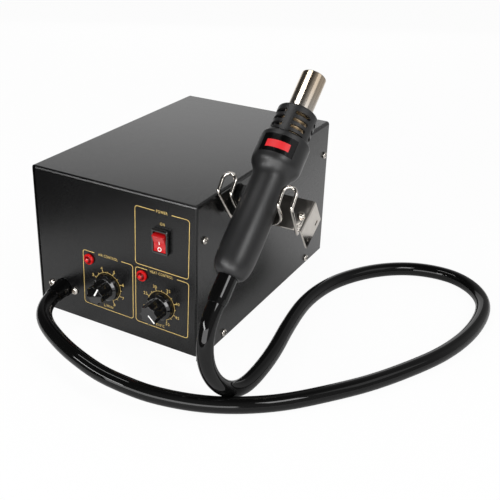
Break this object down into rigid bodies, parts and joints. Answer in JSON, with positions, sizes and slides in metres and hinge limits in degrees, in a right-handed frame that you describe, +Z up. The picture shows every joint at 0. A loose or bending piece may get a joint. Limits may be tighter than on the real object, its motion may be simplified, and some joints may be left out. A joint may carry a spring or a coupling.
{
  "type": "hot air station",
  "caption": "Bench hot air station: steel cabinet with air pump, dials and rocker switch, and a hose to a slotted heat handset that rests in a bent wire cradle.",
  "frame": {"origin": "on the bench, under the middle of the station's outline with the hose left out", "axes": "+X to the operator's right, towards the cradle; +Y from the front panel to the rear; +Z up"},
  "size_m": [0.355, 0.3447, 0.2303],
  "materials": {
    "black_coat": "satin black powder coat",
    "zinc": "zinc-plated steel",
    "nickel": "bright nickel plate",
    "stainless": "drawn stainless steel, a little heat tinted",
    "rubber": "matt black rubber",
    "hose_rubber": "glossy black rubber",
    "moulded_black": "satin moulded black",
    "grip_black": "satin moulded dark grey",
    "red_rocker": "gloss red",
    "red_lens": "clear red lens",
    "ceramic": "unglazed ceramic",
    "board": "green solder mask",
    "core_steel": "varnished laminations",
    "membrane": "matt rubber",
    "clear_tube": "translucent silicone",
    "brass": "turned"
  },
  "bodies": {
    "root": {"air_lamp": "red_lens", "air_nut": "nickel", "air_valve": "zinc", "base_tray": "zinc", "bracket_screw_front": "nickel", "bracket_screw_rear": "nickel", "control_board": "board", "cover": "black_coat", "cover_screw_lower_front_left": "nickel", "cover_screw_lower_front_right": "nickel", "cover_screw_lower_rear_left": "nickel", "cover_screw_lower_rear_right": "nickel", "cover_screw_upper_front_left": "nickel", "cover_screw_upper_front_right": "nickel", "cover_screw_upper_rear_left": "nickel", "cover_screw_upper_rear_right": "nickel", "cradle_bracket": "nickel", "cradle_clamp": "nickel", "cradle_wire": "nickel", "foot_front_left": "rubber", "foot_front_right": "rubber", "foot_rear_left": "rubber", "foot_rear_right": "rubber", "foot_screw_front_left": "zinc", "foot_screw_front_right": "zinc", "foot_screw_rear_left": "zinc", "foot_screw_rear_right": "zinc", "front_panel": "black_coat", "fuse_holder": "moulded_black", "gland_screw_left": "nickel", "gland_screw_right": "nickel", "gland_sleeve": "hose_rubber", "heat_lamp": "red_lens", "heat_nut": "nickel", "heat_pot": "zinc", "hose": "hose_rubber", "hose_gland": "moulded_black", "mains_inlet": "moulded_black", "pump_body": "zinc", "pump_coil": "core_steel", "pump_tube": "clear_tube", "rear_panel": "black_coat", "shelf_screw_inner": "nickel", "shelf_screw_outer": "nickel", "switch_body": "moulded_black", "transformer": "core_steel", "valve_tube": "clear_tube"},
    "switch_rocker": {"switch_rocker": "red_rocker"},
    "air_knob": {"air_knob": "moulded_black", "air_shaft": "brass"},
    "heat_knob": {"heat_knob": "moulded_black", "heat_shaft": "brass"},
    "handset": {"handset_sleeve": "hose_rubber", "handset_grip": "grip_black", "vent_guard": "moulded_black", "heater_tube": "stainless", "heater_core": "ceramic"},
    "pump_arm": {"pump_arm": "core_steel"},
    "pump_diaphragm": {"pump_diaphragm": "membrane"}
  },
  "joints": [
    {"name": "rocker_tilt", "type": "hinge", "parent": "root", "child": "switch_rocker", "pos_m": [0.0161, -0.1083, 0.1075], "axis": [-1, 0, 0], "range_deg": [0, 24]},
    {"name": "air_dial", "type": "hinge", "parent": "root", "child": "air_knob", "pos_m": [-0.0396, -0.1088, 0.0498], "axis": [0, 1, 0], "range_deg": [-184, 130]},
    {"name": "heat_dial", "type": "hinge", "parent": "root", "child": "heat_knob", "pos_m": [0.0145, -0.1088, 0.0482], "axis": [0, 1, 0], "range_deg": [-288, 26]},
    {"name": "handset_lift", "type": "slide", "parent": "root", "child": "handset", "axis": [0, -0.5402, 0.8415], "range_m": [0, 0.06]},
    {"name": "pump_swing", "type": "hinge", "parent": "root", "child": "pump_arm", "pos_m": [0.0016, 0.0032, 0.042], "axis": [0, 0, 1], "range_deg": [-1.5, 1.5], "stiffness_Nm_per_rad": 2},
    {"name": "diaphragm_stroke", "type": "slide", "parent": "root", "child": "pump_diaphragm", "axis": [1, 0, 0], "range_m": [-0.0014, 0.0014]}
  ],
  "couplings": [
    {"joint": "diaphragm_stroke", "follows": "pump_swing", "m_per_rad": -0.048}
  ]
}
